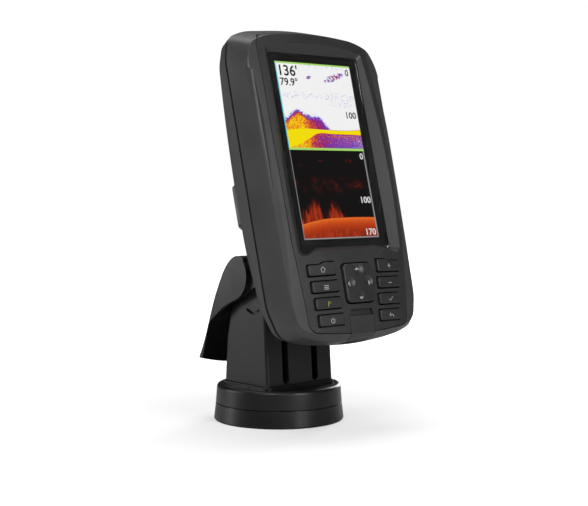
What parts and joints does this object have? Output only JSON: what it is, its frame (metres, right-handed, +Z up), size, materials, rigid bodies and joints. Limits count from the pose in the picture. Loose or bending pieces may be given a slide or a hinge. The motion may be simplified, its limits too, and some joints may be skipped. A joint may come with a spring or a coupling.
{
  "type": "fish finder",
  "caption": "Handheld-sized sonar display head with keypad, D-pad and card door on a tilt and swivel quick-release mount.",
  "frame": {"origin": "centre of the base's underside, on the swivel axis", "axes": "+Z up along the swivel axis, screen facing -Y, +X to the right of someone who looks along +Y at the screen"},
  "size_m": [0.099, 0.1027, 0.211],
  "materials": {
    "face_plastic": "satin",
    "frame_plastic": "satin",
    "rear_plastic": "satin",
    "seal_rubber": "matte",
    "window": "polished",
    "tape": "matte",
    "display": "smooth",
    "backlight_film": "smooth",
    "steel_sheet": "brushed",
    "board": "smooth",
    "ceramic": "smooth",
    "dark_plastic": "matte",
    "steel": "brushed",
    "silicone": "matte",
    "key_plastic": "satin",
    "contact_brass": "polished",
    "mount_plastic": "satin",
    "nylon": "matte"
  },
  "bodies": {
    "base": {"base": "mount_plastic", "friction_ring": "nylon", "swivel_bolt": "steel", "swivel_washer": "steel"},
    "tower": {"tower": "mount_plastic"},
    "cradle": {"cradle": "mount_plastic", "hood": "mount_plastic", "tilt_bolt": "steel", "tilt_nut": "steel", "friction_washers": "nylon"},
    "head": {"front_bezel": "face_plastic", "side_frame": "frame_plastic", "housing_seal": "seal_rubber", "rear_cover": "rear_plastic", "window_glass": "window", "glass_tape": "tape", "lcd_panel": "display", "backlight": "backlight_film", "lcd_bracket": "steel_sheet", "main_board": "board", "shield_can": "steel_sheet", "gps_antenna": "ceramic", "buzzer": "dark_plastic", "board_link": "dark_plastic", "board_screws": "steel", "key_board": "board", "keypad_mat": "silicone", "card_reader": "dark_plastic", "door_pin": "steel", "connector_socket": "dark_plastic", "connector_pins": "contact_brass", "housing_screws": "steel"},
    "dpad_pivot": {"dpad_pivot": "dark_plastic"},
    "dpad": {"dpad": "key_plastic"},
    "card_door": {"card_door": "face_plastic"},
    "release_button_left": {"release_button_left": "mount_plastic"},
    "release_button_right": {"release_button_right": "mount_plastic"},
    "key_home": {"key_home": "key_plastic"},
    "key_menu": {"key_menu": "key_plastic"},
    "key_mark": {"key_mark": "key_plastic"},
    "key_power": {"key_power": "key_plastic"},
    "key_zoom_in": {"key_zoom_in": "key_plastic"},
    "key_zoom_out": {"key_zoom_out": "key_plastic"},
    "key_select": {"key_select": "key_plastic"},
    "key_back": {"key_back": "key_plastic"}
  },
  "joints": [
    {"name": "swivel", "type": "hinge", "parent": "base", "child": "tower", "pos_m": [0, 0, 0.0125], "axis": [0, 0, 1], "range_deg": [-90, 90]},
    {"name": "tilt", "type": "hinge", "parent": "tower", "child": "cradle", "pos_m": [0, 0.002, 0.076], "axis": [1, 0, 0], "range_deg": [-8, 25]},
    {"name": "head_lift_off", "type": "slide", "parent": "cradle", "child": "head", "axis": [0, 0.2487, 0.9686], "range_m": [0, 0.07]},
    {"name": "release_left", "type": "slide", "parent": "cradle", "child": "release_button_left", "axis": [1, 0, 0], "range_m": [0, 0.0024], "stiffness_N_per_m": 400},
    {"name": "release_right", "type": "slide", "parent": "cradle", "child": "release_button_right", "axis": [-1, 0, 0], "range_m": [0, 0.0024], "stiffness_N_per_m": 400},
    {"name": "door_swing", "type": "hinge", "parent": "head", "child": "card_door", "pos_m": [0, -0.06371, 0.05168], "axis": [1, 0, 0], "range_deg": [0, 95]},
    {"name": "dpad_left_right", "type": "hinge", "parent": "head", "child": "dpad_pivot", "pos_m": [0, -0.05637, 0.07705], "axis": [0, 0.2487, 0.9686], "range_deg": [-1.1, 1.1], "stiffness_Nm_per_rad": 0.6},
    {"name": "dpad_up_down", "type": "hinge", "parent": "dpad_pivot", "child": "dpad", "pos_m": [0, -0.05637, 0.07705], "axis": [1, 0, 0], "range_deg": [-1.1, 1.1], "stiffness_Nm_per_rad": 0.6},
    {"name": "press_home", "type": "slide", "parent": "head", "child": "key_home", "axis": [0, 0.9686, -0.2487], "range_m": [0, 0.0006], "stiffness_N_per_m": 1200},
    {"name": "press_menu", "type": "slide", "parent": "head", "child": "key_menu", "axis": [0, 0.9686, -0.2487], "range_m": [0, 0.0006], "stiffness_N_per_m": 1200},
    {"name": "press_mark", "type": "slide", "parent": "head", "child": "key_mark", "axis": [0, 0.9686, -0.2487], "range_m": [0, 0.0006], "stiffness_N_per_m": 1200},
    {"name": "press_power", "type": "slide", "parent": "head", "child": "key_power", "axis": [0, 0.9686, -0.2487], "range_m": [0, 0.0006], "stiffness_N_per_m": 1200},
    {"name": "press_zoom_in", "type": "slide", "parent": "head", "child": "key_zoom_in", "axis": [0, 0.9686, -0.2487], "range_m": [0, 0.0006], "stiffness_N_per_m": 1200},
    {"name": "press_zoom_out", "type": "slide", "parent": "head", "child": "key_zoom_out", "axis": [0, 0.9686, -0.2487], "range_m": [0, 0.0006], "stiffness_N_per_m": 1200},
    {"name": "press_select", "type": "slide", "parent": "head", "child": "key_select", "axis": [0, 0.9686, -0.2487], "range_m": [0, 0.0006], "stiffness_N_per_m": 1200},
    {"name": "press_back", "type": "slide", "parent": "head", "child": "key_back", "axis": [0, 0.9686, -0.2487], "range_m": [0, 0.0006], "stiffness_N_per_m": 1200}
  ]
}
